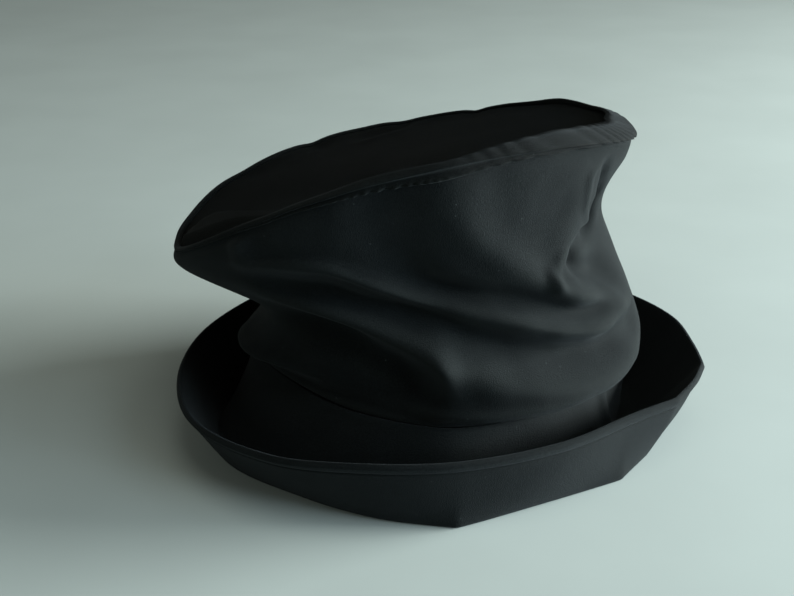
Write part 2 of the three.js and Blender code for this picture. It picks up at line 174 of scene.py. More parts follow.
CROWN_FOLDS = (
    Fold("lower left drawn in and up", (
        (178, 0.12, 15, 0), (188, 0.12, 15, -5), (200, 0.115, 15, -6), (214, 0.11, 16, -7),
        (228, 0.115, 18, -7.5), (242, 0.12, 20, -7), (252, 0.12, 16, -5),
        (260, 0.12, 14, 0)), rise=-0.5),
    Fold("point at the lower left", (
        (174, 0.25, 5, 0), (184, 0.245, 4.5, 4.5), (200, 0.24, 4.5, 5), (212, 0.235, 5, 3),
        (226, 0.235, 7, 0))),
    Fold("crease under the lip", (
        (206, 0.46, 9, 0), (216, 0.45, 9, -4.5), (224, 0.43, 10, -7.5), (233, 0.395, 10, -8.5),
        (243, 0.355, 10, -8.5), (252, 0.31, 10, -7.5), (258, 0.275, 9, -6.5), (262, 0.235, 8, -5.5),
        (264, 0.185, 8, -3.5), (264, 0.13, 8, -1.5), (264, 0.07, 8, 0))),
    Fold("overhanging lip", (
        (208, 0.6, 11, 0), (220, 0.575, 11, 4), (231, 0.52, 11, 10.5), (243, 0.445, 9.5, 13),
        (252, 0.39, 9.5, 13), (260, 0.35, 9, 11), (267, 0.32, 9, 8), (275, 0.29, 10, 4),
        (284, 0.26, 10, 0)), rise=-0.1),
    Fold("belly over the seam", (
        (269, 0.304, 11, 0), (274.5, 0.26, 12, 4.5), (278.5, 0.24, 13, 7), (283.5, 0.224, 13, 7.5),
        (291, 0.208, 13, 7.5), (299.5, 0.196, 13, 8), (310.5, 0.188, 13, 8.5), (322, 0.192, 12, 8),
        (335.5, 0.204, 12, 6), (346, 0.215, 13, 0))),
    Fold("turn of the belly", (
        (260.5, 0.356, 7, 0), (265.5, 0.332, 7, 4), (268.5, 0.312, 6, 6.5), (270, 0.292, 6, 7),
        (270.5, 0.26, 6.5, 6), (270.5, 0.212, 8, 4), (270.5, 0.144, 9, 0))),
    Fold("valley over the belly", (
        (227, 0.612, 8, 0), (231, 0.576, 6.5, -5.5), (235, 0.552, 6, -7.5), (241.5, 0.516, 6, -8.5),
        (247.5, 0.464, 5.2, -9.5), (258, 0.4, 5.2, -10), (267, 0.356, 5.2, -10),
        (275.5, 0.316, 5.3, -10.5), (287, 0.272, 6, -12), (299.5, 0.24, 6.6, -13.5),
        (309.5, 0.224, 6.6, -14), (322, 0.216, 6.4, -13), (329.5, 0.22, 6, -10), (340.5, 0.224, 6, -6),
        (346, 0.245, 6, 0))),
    Fold("ridge over the valley", (
        (224, 0.712, 9, 0), (230.5, 0.664, 6, 3.5), (239, 0.628, 4.6, 5.5), (247, 0.588, 4, 6),
        (251.5, 0.54, 3.8, 6), (256.5, 0.488, 3.8, 6.5), (265, 0.42, 3.7, 7.5), (276, 0.372, 3.5, 8.5),
        (286.5, 0.344, 4, 10.5), (297.5, 0.316, 4.6, 12.5), (306.5, 0.295, 4.6, 13),
        (317.5, 0.28, 4.4, 12), (324, 0.28, 4.4, 8.5), (332.5, 0.28, 4.6, 4.5), (346, 0.255, 5, 0))),
    Fold("hollow beside the front panel", (
        (266, 1.05, 16, 0), (267, 0.95, 16, -2.5), (268, 0.86, 16, -3), (263.5, 0.616, 15, -4),
        (263, 0.532, 13, -7), (264.5, 0.468, 11, -9), (270.5, 0.42, 8.5, -10),
        (278.5, 0.384, 6.8, -9.5), (287, 0.36, 5.6, -9), (295, 0.34, 5, -9.5), (301.5, 0.32, 4.4, -11),
        (310, 0.3, 3.5, -12), (317.5, 0.292, 3.3, -11), (323.5, 0.292, 3.6, -7),
        (330, 0.292, 4.2, 0))),
    Fold("turn of the front panel", (
        (279, 1.03, 13, 1.5), (282, 0.732, 13, 3), (282, 0.656, 12, 3.5), (282.5, 0.588, 11, 4),
        (285, 0.532, 10, 4), (289.5, 0.476, 9.5, 4), (295, 0.428, 8.5, 4), (299.5, 0.392, 7, 4.5),
        (303, 0.372, 5.5, 4.5), (304.5, 0.36, 4.5, 3), (307, 0.343, 4, 0))),
    Fold("edge of the left panel", (
        (229, 0.94, 7, 0), (230.5, 0.84, 6, 3.2), (230.5, 0.74, 6, 3.4), (228, 0.62, 8, 0))),
    Fold("hooked ridge", (
        (325.5, 0.742, 2.6, 0), (320, 0.676, 2.6, 1.1), (320.5, 0.6, 2.6, 1.2),
        (322.5, 0.52, 2.6, 1.2), (330, 0.432, 2.6, 1.2), (322.5, 0.405, 2.6, 1.2),
        (312, 0.407, 2.8, 1.4), (309, 0.388, 3, 2), (305.5, 0.38, 3.2, 3.4), (305.5, 0.368, 3.5, 5.2),
        (308, 0.351, 3.6, 7), (314, 0.332, 3.8, 7.5), (325, 0.308, 4, 7), (334, 0.296, 4.4, 4.5),
        (345, 0.284, 5, 2), (350, 0.3, 6, 0))),
    Fold("groove beside the hooked ridge", (
        (328.5, 0.78, 5, 0), (329, 0.683, 4.2, -3), (331.5, 0.607, 4, -4.5), (336, 0.535, 4, -5),
        (333.5, 0.501, 4, -5), (336, 0.447, 4.4, -5), (332.5, 0.423, 4.6, -5),
        (324.5, 0.413, 4.8, -5.2), (320, 0.396, 5, -5.5), (316.5, 0.382, 5.2, -6),
        (321, 0.35, 5.4, -6), (327, 0.332, 5.6, -6), (335.5, 0.316, 5.6, -4.5), (342, 0.316, 6.5, 0))),
    Fold("pinched pocket", (
        (349.5, 0.396, 14, 0), (336.5, 0.384, 12, -2), (331, 0.36, 11, -4), (332.5, 0.332, 10, -4),
        (336, 0.32, 10, -1.5), (340, 0.316, 9, 0))),
    Fold("foot of the belly", (
        (261, 0.115, 10, 0), (267, 0.105, 10.5, 5), (278, 0.092, 12, 8.5), (298, 0.082, 12, 9),
        (318, 0.085, 12, 7), (336, 0.1, 12, 0))),
    Fold("wall under the lip flattened", (
        (204, 0.25, 14, 0), (218, 0.25, 15, -2.5), (235, 0.235, 15, -5), (248, 0.215, 15, -6.5),
        (256, 0.19, 14, -6.5), (261, 0.17, 12, -4), (266, 0.15, 11, 0))),
    Fold("corner of the right panel", (
        (319, 0.772, 13, 0), (318, 0.656, 13, 2.2), (319.5, 0.552, 13, 2.8), (318, 0.48, 12.5, 2.8),
        (314, 0.431, 11.5, 2.2), (309, 0.404, 10, 0))),
)


@dataclass(frozen=True)
class EdgeWave:
    """Small rise or notch of the tip edge at one compass angle, in degrees and millimetres."""

    angle: float
    spread: float
    up: float


EDGE_WAVES = tuple(EdgeWave(*row) for row in (
    (166, 6, -0.5), (178, 5, 0.5), (150, 7, 0.4), (140, 5, -0.6), (126, 7, 0.4), (116, 3, -1.0),
    (107, 6, 0.5), (96, 5, 0.4), (89, 3.5, -0.7), (76, 6, 0.3), (67.5, 2.5, -1.0), (58, 6, 0.5),
    (40, 6, 0.7), (26, 4, -0.4), (196, 6, -0.4), (238, 6, -0.5), (262, 7, 0.5),
))


@dataclass(frozen=True)
class WeltRow:
    """Welt at one compass angle.

    Attributes:
        angle: Compass angle.
        v: Height of its lower edge on the side wall.
        plump: How far it stands out.
        groove: Depth of the groove above its lower edge, as a share.
        beads: Depth of the puckers between stitches, as a share.
        tucks: Depth of the wider tucks, as a share.
        inner: How far it reaches in over the tip, in millimetres.
        rise: How much higher its inner border lies than the crown's edge, in millimetres.
    """

    angle: float
    v: float
    plump: float
    groove: float = 0.3
    beads: float = 0.3
    tucks: float = 0.0
    inner: float = 1.0
    rise: float = 0.0


WELT_ROWS = tuple(WeltRow(*row) for row in (
    # angle, v, plump, groove, beads, tucks, inner, rise
    (0, 0.955, 1.0, 0.4, 0.2, 0.6, 12.0, 2.2),
    (12, 0.955, 0.9, 0.4, 0.1, 0.4, 6.0, 1.2),
    (24, 0.945, 0.8, 0.3, 0.3, 0.0, 2.0, 1.0),
    (40, 0.945, 0.7, 0.3, 0.3, 0.0, 1.0, 2.0),
    (52, 0.945, 0.7, 0.3, 0.3, 0.0, 1.0, 1.2),
    (66, 0.945, 0.6),
    (150, 0.945, 0.5),
    (176, 0.955, 0.4),
    (200, 0.955, 0.4),
    (209, 0.955, 0.4, 0.3, 0.3, 0.0, 5.0, -0.6),
    (217, 0.955, 0.4, 0.3, 0.3, 0.0, 9.5, -1.2),
    (226, 0.955, 0.4, 0.2, 0.1, 0.0, 9.0, -1.2),
    (236, 0.955, 0.5, 0.3, 0.2, 0.0, 5.0, -0.7),
    (246, 0.95, 0.9, 0.8, 0.8, 0.0, 1.5),
    (254, 0.935, 1.3, 1.0, 1.0),
    (262, 0.915, 1.4, 1.0, 1.0),
    (270, 0.885, 1.4, 1.0, 1.0),
    (277, 0.87, 1.3, 1.0, 0.9, 0.0, 1.0, 0.5),
    (284, 0.885, 1.2, 0.7, 0.5, 0.3, 1.5, 1.0),
    (294, 0.915, 1.2, 0.3, 0.15, 0.6, 3.5, 2.0),
    (304, 0.935, 1.3, 0.25, 0.1, 0.8, 6.0, 2.6),
    (314, 0.95, 1.4, 0.4, 0.1, 1.0, 8.0, 3.0),
    (326, 0.97, 1.4, 0.4, 0.1, 1.0, 9.5, 3.2),
    (342, 0.965, 1.2, 0.4, 0.2, 0.8, 11.5, 3.0),
    (360, 0.955, 1.0, 0.4, 0.2, 0.6, 12.0, 2.2),
))


@dataclass(frozen=True)
class CrestPoint:
    """Point of the welt's cross-section over the tip edge, measured from the crown's edge.

    Attributes:
        out: Distance out of the side wall, less than zero for inwards.
        up: Distance up the side wall.
        proud: Share of the face's thickness by which it lies further out.
        inner: Share of the reach over the tip by which it lies further in.
        rise: Share of the inner border's rise by which it lies higher.
    """

    out: float
    up: float
    proud: float = 0.0
    inner: float = 0.0
    rise: float = 0.0


CREST = (
    CrestPoint(GAP, 0.7, proud=0.45),
    CrestPoint(0.1, 1.3),
    CrestPoint(-CROWN_CLOTH, 1.2, inner=0.4, rise=0.55),
    CrestPoint(-CROWN_CLOTH, 0.7, inner=1.0, rise=1.0),
    CrestPoint(-CROWN_CLOTH - 0.3, -0.4, inner=1.0, rise=1.0),
    CrestPoint(-CROWN_CLOTH, GAP, inner=0.6, rise=0.3),
    CrestPoint(GAP, GAP),
)


def column(rows: Sequence[object], name: str) -> Array:
    """Named column of a table, as numbers."""
    return np.array([float(getattr(row, name)) for row in rows])


def smooth_step(t: Array) -> Array:
    """Zero to one with soft ends."""
    t = np.clip(t, 0.0, 1.0)
    return t * t * (3.0 - 2.0 * t)


def through(knots: Array, values: Array, at: Array) -> Array:
    """Smooth curve through rows of values.

    Args:
        knots: Increasing places of the rows.
        values: One row of numbers per knot.
        at: Places at which the curve is read.

    Returns:
        One row of numbers per place.
    """
    slopes = np.empty_like(values)
    slopes[1:-1] = (values[2:] - values[:-2]) / (knots[2:] - knots[:-2])[:, None]
    slopes[0] = (values[1] - values[0]) / (knots[1] - knots[0])
    slopes[-1] = (values[-1] - values[-2]) / (knots[-1] - knots[-2])
    i = np.clip(np.searchsorted(knots, at, side="right") - 1, 0, len(knots) - 2)
    span = (knots[i + 1] - knots[i])[..., None]
    t = (at - knots[i])[..., None] / span
    return hermite(t, span, values[i], values[i + 1], slopes[i], slopes[i + 1])


def hermite(t: Array, span: Array, start: Array, end: Array, leave: Array, arrive: Array) -> Array:
    """Cubic from start to end with given slopes.

    Args:
        t: Share along the span, 0 to 1.
        span: Length of the span.
        start: Values at its beginning.
        end: Values at its end.
        leave: Slopes at its beginning.
        arrive: Slopes at its end.

    Returns:
        Values at t.
    """
    t2, t3 = t * t, t * t * t
    return ((2 * t3 - 3 * t2 + 1) * start + (t3 - 2 * t2 + t) * span * leave
            + (3 * t2 - 2 * t3) * end + (t3 - t2) * span * arrive)


def outward(degrees: Array) -> Array:
    """Level unit vectors that point away from the hat's middle."""
    at = np.radians(degrees)
    return np.stack([np.cos(at), np.sin(at), np.zeros_like(at)], -1)


def unit(vectors: Array) -> Array:
    """Vectors of length one."""
    return vectors / np.maximum(np.linalg.norm(vectors, axis=-1, keepdims=True), SMALLEST)


def round_the(radius: float, degrees: Array) -> Array:
    """Millimetres along a round of cloth at compass angles."""
    return degrees * math.radians(1.0) * radius


def swell(places: Array, middle: float, spread: float) -> Array:
    """One at the middle of a round swell, fading to zero on both sides."""
    return np.exp(-((places - middle) / spread) ** 2)


def pulse(beats: Array) -> Array:
    """Zero on every beat and one halfway between two."""
    return 0.5 - 0.5 * np.cos(2 * np.pi * beats)


def evened(ring: Array) -> Array:
    """Closed ring of points, each drawn towards its two neighbours."""
    return (np.roll(ring, 1, 0) + np.roll(ring, -1, 0) + 2 * ring) / 4


def closed(ring: Array) -> Array:
    """Ring with its first row once more at its end."""
    return np.concatenate([ring, ring[:1]])


@dataclass
class FoldField:
    """Folds of one panel, measured on the flat cloth."""

    folds: Sequence[Fold]
    scale: tuple[float, float]  # millimetres per unit across and up
    lap: Optional[float] = None  # distance across after which the panel meets itself
    steps: int = 12  # swells between two knots of a line
    reach: float = 2.6  # widths away at which a swell is still felt

    def line(self, fold: Fold) -> Array:
        """Points of a fold line on the flat cloth.

        Args:
            fold: The fold.

        Returns:
            Rows of across, up, width and out, in millimetres.
        """
        knots = np.array(fold.knots, float) * np.array([*self.scale, 1.0, 1.0])
        places = np.arange(len(knots), dtype=float)
        last = len(knots) - 1
        return through(places, knots, np.linspace(0, last, self.steps * last + 1))

    def strength(self, fold: Fold, across: Array, up: Array) -> Array:
        """How far a fold stands out at places on the flat cloth.

        The fold is a row of round swells close together along its line.

        Args:
            fold: The fold.
            across: Places across, in millimetres.
            up: Places up, in millimetres.

        Returns:
            Distances out, in millimetres.
        """
        line = self.line(fold)
        middles = (line[1:] + line[:-1]) / 2
        lengths = np.linalg.norm(np.diff(line[:, :2], axis=0), axis=1)
        width = np.maximum(middles[:, 2], 1.0)
        heights = middles[:, 3] * lengths / (math.sqrt(math.pi) * width)
        reach = self.reach * width.max()
        total = np.zeros_like(across)
        for lap in (0.0,) if self.lap is None else (-self.lap, 0.0, self.lap):
            low, high = middles[:, :2].min(0) - reach, middles[:, :2].max(0) + reach
            here = across + lap
            near = (here > low[0]) & (here < high[0]) & (up > low[1]) & (up < high[1])
            if near.any():
                away = ((here[near][:, None] - middles[:, 0]) ** 2
                        + (up[near][:, None] - middles[:, 1]) ** 2)
                total[near] += np.exp(-away / width ** 2) @ heights
        return total

    def moves(self, across: Array, up: Array) -> tuple[Array, Array]:
        """Sum of all folds.

        Args:
            across: Places across, in the table's units.
            up: Places up, in the table's units.

        Returns:
            Distances out and distances up, in millimetres.
        """
        flat_across, flat_up = across * self.scale[0], up * self.scale[1]
        out, rise = np.zeros_like(flat_across), np.zeros_like(flat_across)
        for fold in self.folds:
            strength = self.strength(fold, flat_across, flat_up)
            out += strength
            rise += strength * fold.rise
        return out, rise


def uneven(points: Array, size: float, seed: float) -> Array:
    """Soft unevenness of handled cloth, about -1 to 1.

    Args:
        points: Places, in millimetres.
        size: Breadth of one swell, in millimetres.
        seed: Moves the pattern.

    Returns:
        One number per place.
    """
    flat = points.reshape(-1, 3) / size + seed
    values = [noise.noise(Vector(place)) for place in flat]
    return np.array(values).reshape(points.shape[:-1])


class BrimLoops:
    """Loops of the brim round the compass: seam, heel, fold and rim."""

    def __init__(self, stations: Sequence[Station]) -> None:
        """Keep the stations, once more on either side so that the loops close."""
        self.angles = column(stations, "angle")
        self.knots = np.concatenate([self.angles - FULL_TURN, self.angles, self.angles + FULL_TURN])
        self.stations = stations
        corner = np.tile(column(stations, "corner") > 0, 3)
        rim_corner = np.tile(column(stations, "rim_corner") > 0, 3)
        self.pointed = {"crease": corner, "heel": rim_corner, "fold": rim_corner, "rim": rim_corner}

    def value(self, name: str, degrees: Array) -> Array:
        """Smooth value of a column at compass angles."""
        values = np.tile(column(self.stations, name), 3)[:, None]
        return through(self.knots, values, np.mod(degrees, FULL_TURN))[..., 0]

    def loop(self, reach: str, degrees: Array) -> Array:
        """Points of a loop.

        Args:
            reach: Column that gives the loop's distance from the middle, "fold" for the
                wall's round foot, or "crease" for the fold on the table with its corners.
            degrees: Compass angles.

        Returns:
            Points, in millimetres.
        """
        heights = {"seam": np.full(len(self.stations), SEAM_HEIGHT),
                   "rim": column(self.stations, "rim_height")}
        reached = column(self.stations, "fold" if reach == "crease" else reach)
        if reach == "fold":
            reached = reached - column(self.stations, "foot_in")
        flat = outward(self.angles) * reached[:, None]
        flat[:, 2] = heights.get(reach, np.zeros(len(self.stations)))
        points = np.tile(flat, (3, 1))
        pointed = self.pointed.get(reach, np.zeros(len(points), bool))
        chord = np.diff(points, axis=0) / np.diff(self.knots)[:, None]
        middle = (points[2:] - points[:-2]) / (self.knots[2:] - self.knots[:-2])[:, None]
        arrive, leave = np.zeros_like(points), np.zeros_like(points)
        arrive[1:-1] = np.where(pointed[1:-1, None], chord[:-1], middle)
        leave[1:-1] = np.where(pointed[1:-1, None], chord[1:], middle)
        turn = np.mod(degrees, FULL_TURN)
        i = np.searchsorted(self.knots, turn, side="right") - 1
        span = (self.knots[i + 1] - self.knots[i])[..., None]
        t = (turn - self.knots[i])[..., None] / span
        return hermite(t, span, points[i], points[i + 1], leave[i], arrive[i + 1])


LOOPS = BrimLoops(STATIONS)


class CrownForm:
    """Outside of the crown's side wall, with all its folds."""

    seam_share: float = 0.18  # of the height, over which the wall leaves the seam's outline
    fold_share: float = 0.05  # of the height, over which the folds begin
    wave_share: float = 0.3  # of the height, below the edge, that the edge's waves move
    front_shape: float = 1.6  # how narrow the lift of the front is
    corner_shape: float = 3.0  # and of the back corners
    probe_up: float = 0.004  # step in height that gives the normals
    probe_round: float = 0.25  # and in degrees

    def __init__(self) -> None:
        """Set up the folds on the flat cloth."""
        per_degree = round_the(CROWN_RADIUS, 1.0)
        self.folds = FoldField(CROWN_FOLDS, (per_degree, CROWN_HEIGHT), FULL_TURN * per_degree)

    def oval(self, degrees: Array, v: Array) -> Array:
        """Crown without folds.

        Args:
            degrees: Compass angles.
            v: Heights, 0 at the seam and 1 at the tip edge.

        Returns:
            Points, in millimetres.
        """
        names = ("x", "z", "half_x", "half_y", "tilt", "lift_front", "lift_back", "rise_left", "rise_right")
        table = np.stack([column(SECTIONS, name) for name in names], 1)
        rows = through(column(SECTIONS, "v"), table, np.broadcast_to(v, np.shape(degrees)))
        x, z, half_x, half_y, tilt, front, back, left, right = np.moveaxis(rows, -1, 0)
        cos, sin = np.cos(np.radians(degrees)), np.sin(np.radians(degrees))
        lift = np.where(sin < 0, front * np.abs(sin) ** self.front_shape, back * sin * sin)
        for height, place in ((left, RISE_LEFT_AT), (right, RISE_RIGHT_AT)):
            lift += height * np.clip(np.cos(np.radians(degrees - place)), 0, 1) ** self.corner_shape
        return np.stack([x + half_x * cos, half_y * sin, z + tilt * half_x * cos + lift], -1)

    def points(self, degrees: Array, v: Array) -> Array:
        """Points on the outside of the side wall.

        Args:
            degrees: Compass angles.
            v: Heights, 0 at the seam and 1 at the tip edge.

        Returns:
            Points, in millimetres.
        """
        degrees, v = np.broadcast_arrays(np.asarray(degrees, float), np.asarray(v, float))
        points = self.oval(degrees, v)
        ease = np.clip(1 - v / self.seam_share, 0, 1) ** 2
        foot = self.oval(degrees, np.zeros_like(v))
        points = points + ease[..., None] * (LOOPS.loop("seam", degrees) - foot)
        out, rise = self.folds.moves(np.mod(degrees, FULL_TURN), v)
        start = np.clip(v / self.fold_share, 0, 1)
        near_edge = smooth_step((v - (1 - self.wave_share)) / self.wave_share)
        points = points + outward(degrees) * (start * out)[..., None]
        points[..., 2] += start * rise + self.wave(degrees) * near_edge
        return points

    def wave(self, degrees: Array) -> Array:
        """How far the tip edge is lifted at compass angles."""
        total = np.zeros_like(degrees)
        for wave in EDGE_WAVES:
            apart = np.mod(degrees - wave.angle + FULL_TURN / 2, FULL_TURN) - FULL_TURN / 2
            total += wave.up * swell(apart, 0.0, wave.spread)
        return total

    def normals(self, degrees: Array, v: Array) -> Array:
        """Unit vectors out of the side wall."""
        degrees, v = np.broadcast_arrays(np.asarray(degrees, float), np.asarray(v, float))
        low, high = np.clip(v - self.probe_up, 0, 1), np.clip(v + self.probe_up, 0, 1)
        around = self.points(degrees + self.probe_round, v) - self.points(degrees - self.probe_round, v)
        return unit(np.cross(around, self.points(degrees, high) - self.points(degrees, low)))


CROWN = CrownForm()


def compass(front_step: float, back_step: float) -> Array:
    """Compass angles of columns, close together at the front, with one on every corner.

    Args:
        front_step: Degrees between columns at the front.
        back_step: Degrees between columns at the back.

    Returns:
        Angles once round, from the left end of the front.
    """
    last = FRONT_FROM + FULL_TURN
    front = np.arange(FRONT_FROM, FRONT_TO, front_step)
    back = np.linspace(FRONT_TO, last, round((last - FRONT_TO) / back_step) + 1)
    angles = np.concatenate([front, back])
    for station in STATIONS:
        if station.corner:
            turned = station.angle + (0.0 if station.angle > FRONT_FROM else FULL_TURN)
            angles[np.argmin(np.abs(angles - turned))] = turned
    return np.sort(angles)


def even_compass(step: float) -> Array:
    """Compass angles once round, the same step apart."""
    return np.linspace(FRONT_FROM, FRONT_FROM + FULL_TURN, round(FULL_TURN / step) + 1)


def add_object(name: str, data: bpy.types.ID) -> Piece:
    """Object in the scene for a mesh, light or camera."""
    made = bpy.data.objects.new(name, data)
    bpy.context.scene.collection.objects.link(made)
    return made


def drape(name: str, columns: Array, rows: Array, points: Array, ridge: Optional[Array] = None) -> Piece:
    """Lay a flat grid of cloth over points.

    Args:
        name: Name of the piece.
        columns: Place of each column on the flat cloth, in millimetres.
        rows: Place of each row on the flat cloth, in millimetres.
        points: Where each crossing of column and row goes, in the tables' millimetres.
        ridge: Share, -1 to 1, by which each crossing's colour is painted lighter: on the side wall how far it
            stands out of its surroundings, on the tip a painted highlight on the turned corner, on the welt
            painted light and shade.

    Returns:
        The piece, with its place in its mesh.
    """
    across, up = len(columns) - 1, len(rows) - 1
    bm = bmesh.new()
    cloth = bm.loops.layers.uv.new("cloth")
    wear_and_light_layer = bm.verts.layers.float.new("ridge")
    bmesh.ops.create_grid(bm, x_segments=across, y_segments=up, size=0.5)  # from -0.5 to 0.5
    placed = (points + HAT_PLACE) * MM
    for face in bm.faces:
        face.smooth = True
        for corner in face.loops:
            i = round((corner.vert.co.x + 0.5) * across)
            j = round((corner.vert.co.y + 0.5) * up)
            corner[cloth].uv = (columns[i] * UV_PER_MM, rows[j] * UV_PER_MM)
    for vert in bm.verts:
        i, j = round((vert.co.x + 0.5) * across), round((vert.co.y + 0.5) * up)
        vert.co = placed[i, j]
        # Painted light and shade for the colour, through the ridge attribute.
        vert[wear_and_light_layer] = 0.0 if ridge is None else float(ridge[i, j])
    bmesh.ops.remove_doubles(bm, verts=bm.verts[:], dist=SAME_PLACE)
    bmesh.ops.recalc_face_normals(bm, faces=bm.faces[:])
    mesh = bpy.data.meshes.new(name)
    bm.to_mesh(mesh)
    bm.free()
    return add_object(name, mesh)


def standing_out(points: Array, normals: Array, reach: int) -> Array:
    """How far each point of a ring stands out of the mean of its surroundings.

    Args:
        points: Grid of points, first and last column in the same place.
        normals: Unit vectors out of the surface.
        reach: How many columns and rows the surroundings take in.

    Returns:
        One number per point, about -1 in a crease and 1 on a ridge.
    """
    mean = points[:-1].copy()
    for _ in range(reach):
        mean = evened(mean)
        mean[:, 1:-1] = (mean[:, :-2] + mean[:, 2:] + 2 * mean[:, 1:-1]) / 4
    return np.clip(np.sum((points - closed(mean)) * normals, -1) * RIDGE_CONTRAST, -1, 1)


def thicken(piece: Piece, thickness: float) -> None:
    """Give a sheet its wall, inwards, with both edges closed."""
    wall = piece.modifiers.new("cloth wall", "SOLIDIFY")
    wall.thickness = thickness * MM
    wall.offset = -1.0
    wall.use_rim = True


class Value:
    """Shader socket that can be used in sums and products."""

    def __init__(self, net: "Net", socket: Socket) -> None:
        """Wrap a socket of a net."""
        self.net = net
        self.socket = socket

    def math(self, operation: str, *others: Union["Value", Number], swap: bool = False) -> "Value":
        """Math node on this value and others.

        Args:
            operation: Operation of the Math node.
            others: Further operands.
            swap: Whether this value comes second.

        Returns:
            The result.
        """
        operands = [self, *others]
        if swap:
            operands.reverse()
        node = self.net.node("ShaderNodeMath", {"operation": operation}, dict(enumerate(operands)))
        return Value(self.net, node.outputs[0])

    def __add__(self, other: Union["Value", Number]) -> "Value":
        """Sum."""
        return self.math("ADD", other)

    __radd__ = __add__

    def __sub__(self, other: Union["Value", Number]) -> "Value":
        """Difference."""
        return self.math("SUBTRACT", other)

    def __rsub__(self, other: Union["Value", Number]) -> "Value":
        """Difference from a number."""
        return self.math("SUBTRACT", other, swap=True)

    def __mul__(self, other: Union["Value", Number]) -> "Value":
        """Product."""
        return self.math("MULTIPLY", other)

    __rmul__ = __mul__

    def between(self, low: float, high: float) -> "Value":
        """Zero at low, one at high, clamped."""
        inputs = {"Value": self, "From Min": low, "From Max": high}
        return Value(self.net, self.net.node("ShaderNodeMapRange", {"clamp": True}, inputs).outputs[0])


class Net:
    """Node tree of one material."""

    def __init__(self, material: Material) -> None:
        """Empty the material's node tree."""
        material.use_nodes = True
        self.tree = material.node_tree
        self.tree.nodes.clear()

    def node(
        self, kind: str, settings: dict[str, object], inputs: dict[Union[str, int], object]
    ) -> bpy.types.Node:
        """Add a node.

        Args:
            kind: Its type.
            settings: Its properties, set first.
            inputs: Values or links of its sockets, by name or number.

        Returns:
            The node.
        """
        node = self.tree.nodes.new(kind)
        for name, setting in settings.items():
            setattr(node, name, setting)
        for name, value in inputs.items():
            socket = node.inputs[name]
            if isinstance(value, Value):
                self.tree.links.new(value.socket, socket)
            elif isinstance(value, Socket):
                self.tree.links.new(value, socket)
            else:
                socket.default_value = value
        return node

    def place(self) -> Socket:
        """Object coordinates, in metres."""
        return self.node("ShaderNodeTexCoord", {}, {}).outputs["Object"]

    def cloth(self, across: float, up: float) -> Socket:
        """Coordinates on the flat cloth, in so many units per millimetre across and up."""
        uv = self.node("ShaderNodeUVMap", {"uv_map": "cloth"}, {})
        scale = (across / UV_PER_MM, up / UV_PER_MM, 1.0)
        return self.node("ShaderNodeMapping", {}, {"Vector": uv.outputs[0], "Scale": scale}).outputs[0]

    def clouds(self, vector: Socket, scale: float, detail: float = 3.0, rough: float = 0.5) -> Value:
        """Noise over a surface, about 0.2 to 0.8."""
        inputs = {"Vector": vector, "Scale": scale, "Detail": detail, "Roughness": rough}
        return Value(self, self.node("ShaderNodeTexNoise", {}, inputs).outputs["Fac"])

    def total(self, values: Sequence[Value], shares: Sequence[float]) -> Value:
        """Sum of values, each times its share."""
        first, *others = (value * share for value, share in zip(values, shares))
        return sum(others, first)

    def blend(self, share: Value, first: object, second: object) -> Socket:
        """Mix of two colours.

        Args:
            share: Zero for the first, one for the second.
            first: A colour or a colour socket.
            second: A colour or a colour socket.

        Returns:
            The colour.
        """
        node = self.node("ShaderNodeMix", {"data_type": "RGBA"}, {0: share, 6: first, 7: second})
        return node.outputs[2]


@dataclass(frozen=True)
class Finish:
    """Finish of a surface."""

    name: str

    def shader(self, net: Net) -> bpy.types.Node:
        """Shader node of the finish, built in a material's nodes."""
        raise NotImplementedError

    def material(self) -> Material:
        """Material with this finish."""
        material = bpy.data.materials.new(self.name)
        net = Net(material)
        net.node("ShaderNodeOutputMaterial", {}, {"Surface": self.shader(net).outputs[0]})
        return material


